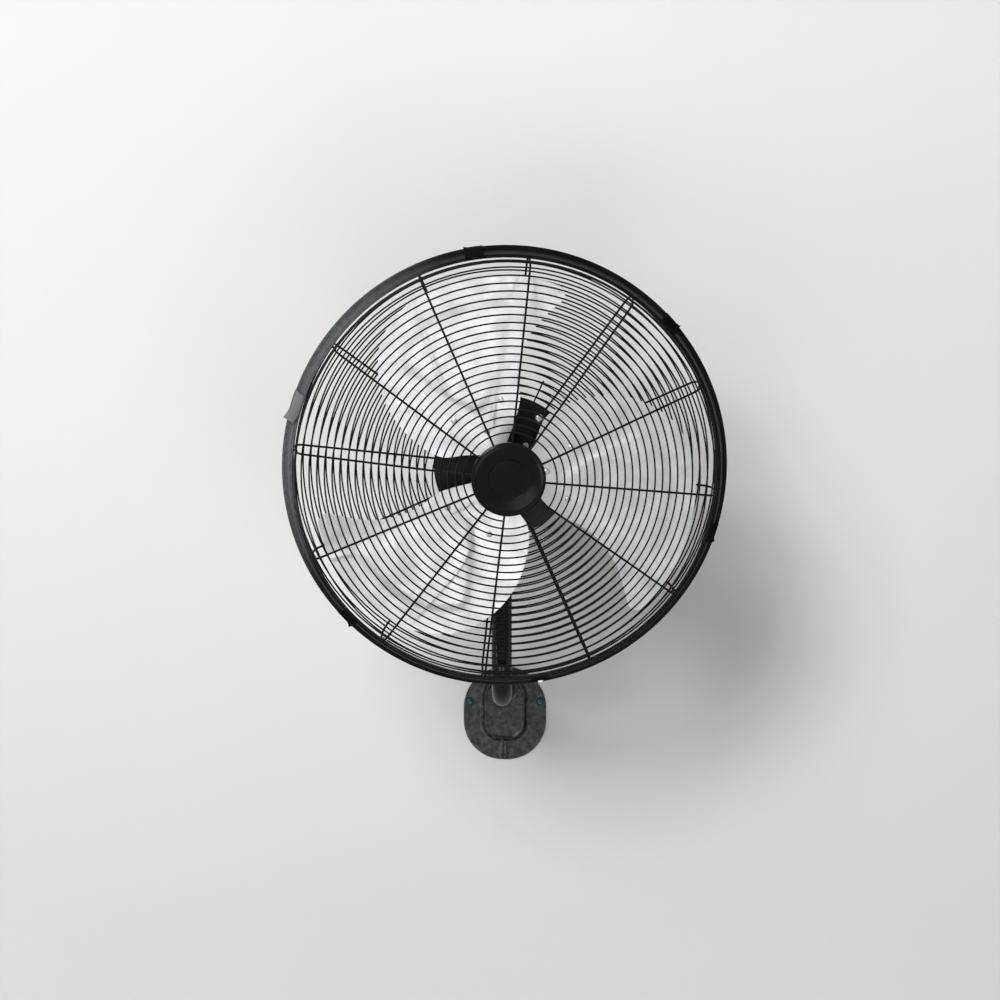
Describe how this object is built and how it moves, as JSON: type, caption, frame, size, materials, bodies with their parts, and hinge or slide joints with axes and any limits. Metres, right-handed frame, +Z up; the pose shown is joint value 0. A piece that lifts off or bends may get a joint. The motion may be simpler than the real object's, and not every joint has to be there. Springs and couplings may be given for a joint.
{
  "type": "wall mounted fan",
  "caption": "Wall mounted oscillating fan: round spiral wire cage, aluminium paddle blades, black motor head and a bent tube arm on a rounded wall plate.",
  "frame": {"origin": "middle of the wall screw line, on the wall's surface", "axes": "+Z up, +Y into the wall, +X to the right of someone facing the fan; the fan blows towards -Y"},
  "size_m": [0.6614, 0.4789, 0.8021],
  "materials": {
    "black_powder_coat": "satin",
    "black_gloss_tube": "gloss",
    "black_cap": "gloss",
    "blade_aluminium": "satin",
    "zinc_steel": "satin",
    "cast_aluminium": "matte",
    "electrical_steel": "matte",
    "copper_winding": "satin",
    "gear_nylon": "matte",
    "black_plastic": "matte"
  },
  "bodies": {
    "wall_bracket": {"wall_plate": "black_powder_coat", "tube_weld_collar": "black_powder_coat", "arm_tube": "black_gloss_tube", "tube_yoke": "black_powder_coat", "yoke_clamp_screw": "zinc_steel", "tilt_bolt": "zinc_steel"},
    "tilt_lock": {"tilt_knob": "black_plastic"},
    "neck": {"tilt_neck": "black_powder_coat", "pan_pin": "zinc_steel", "pan_spacer": "gear_nylon", "pan_retaining_ring": "zinc_steel"},
    "link": {"oscillation_link": "zinc_steel"},
    "head": {"rim_band": "black_powder_coat", "front_rim_ring": "black_powder_coat", "rear_rim_ring": "black_powder_coat", "front_guard_spokes": "black_powder_coat", "front_guard_spiral": "black_powder_coat", "rear_guard_spokes": "black_powder_coat", "rear_guard_spiral": "black_powder_coat", "guard_plate": "black_powder_coat", "cover_screws": "zinc_steel", "motor_screws": "zinc_steel", "front_cap": "black_cap", "cap_backing_plate": "black_powder_coat", "cap_screws": "zinc_steel", "rim_clips": "black_powder_coat", "rim_lock_screw": "zinc_steel", "motor_front_bell": "cast_aluminium", "motor_rear_bell": "cast_aluminium", "front_bearing": "zinc_steel", "rear_bearing": "zinc_steel", "stator_stack": "electrical_steel", "stator_windings": "copper_winding", "gearbox_case": "cast_aluminium", "gearbox_lid": "cast_aluminium", "motor_cover": "black_powder_coat", "motor_capacitor": "black_plastic", "speed_switch": "black_plastic", "cord_inlet": "black_plastic"},
    "crank": {"crank_gear": "zinc_steel"},
    "wheel": {"worm_wheel": "gear_nylon"},
    "pull_knob": {"oscillation_knob": "black_plastic"},
    "switch_knob": {"speed_knob": "black_plastic"},
    "rotor": {"motor_shaft": "zinc_steel", "rotor_core": "cast_aluminium", "worm": "zinc_steel", "blade_hub": "black_powder_coat", "hub_set_screw": "zinc_steel", "hub_nut": "zinc_steel", "blade_a": "blade_aluminium", "blade_b": "blade_aluminium", "blade_c": "blade_aluminium", "blade_rivets": "zinc_steel"}
  },
  "joints": [
    {"name": "tilt", "type": "hinge", "parent": "wall_bracket", "child": "neck", "pos_m": [0, -0.21, 0.29038], "axis": [1, 0, 0], "range_deg": [-26, 11]},
    {"name": "pan", "type": "hinge", "parent": "neck", "child": "head", "pos_m": [0, -0.22997, 0.40364], "axis": [0, -0.1736, 0.9848], "range_deg": [-39, 31]},
    {"name": "blade_spin", "type": "hinge", "parent": "head", "child": "rotor", "pos_m": [0.01032, -0.37537, 0.378], "axis": [0.0698, -0.9824, -0.1732], "continuous": true},
    {"name": "worm_wheel_spin", "type": "hinge", "parent": "head", "child": "wheel", "pos_m": [0.01834, -0.21291, 0.40665], "axis": [0, -0.1736, 0.9848], "continuous": true},
    {"name": "crank_turn", "type": "hinge", "parent": "head", "child": "crank", "pos_m": [-0.00265, -0.19264, 0.41022], "axis": [0, -0.1736, 0.9848], "range_deg": [-115, 115]},
    {"name": "link_swing", "type": "hinge", "parent": "neck", "child": "link", "pos_m": [0.017, -0.22997, 0.40364], "axis": [0, -0.1736, 0.9848], "range_deg": [-40, 40]},
    {"name": "oscillation_knob_pull", "type": "slide", "parent": "head", "child": "pull_knob", "axis": [0, -0.1736, 0.9848], "range_m": [0, 0.008]},
    {"name": "speed_knob_turn", "type": "hinge", "parent": "head", "child": "switch_knob", "pos_m": [-0.00516, -0.16561, 0.46373], "axis": [-0.0698, 0.9824, 0.1732], "range_deg": [0, 135]},
    {"name": "tilt_knob_turn", "type": "hinge", "parent": "wall_bracket", "child": "tilt_lock", "pos_m": [0, -0.21, 0.29038], "axis": [1, 0, 0], "range_deg": [0, 180]}
  ],
  "couplings": [
    {"joint": "worm_wheel_spin", "follows": "blade_spin", "ratio": -0.033333},
    {"joint": "crank_turn", "follows": "pan", "ratio": -2.7143},
    {"joint": "link_swing", "follows": "pan", "ratio": 0.8574}
  ]
}
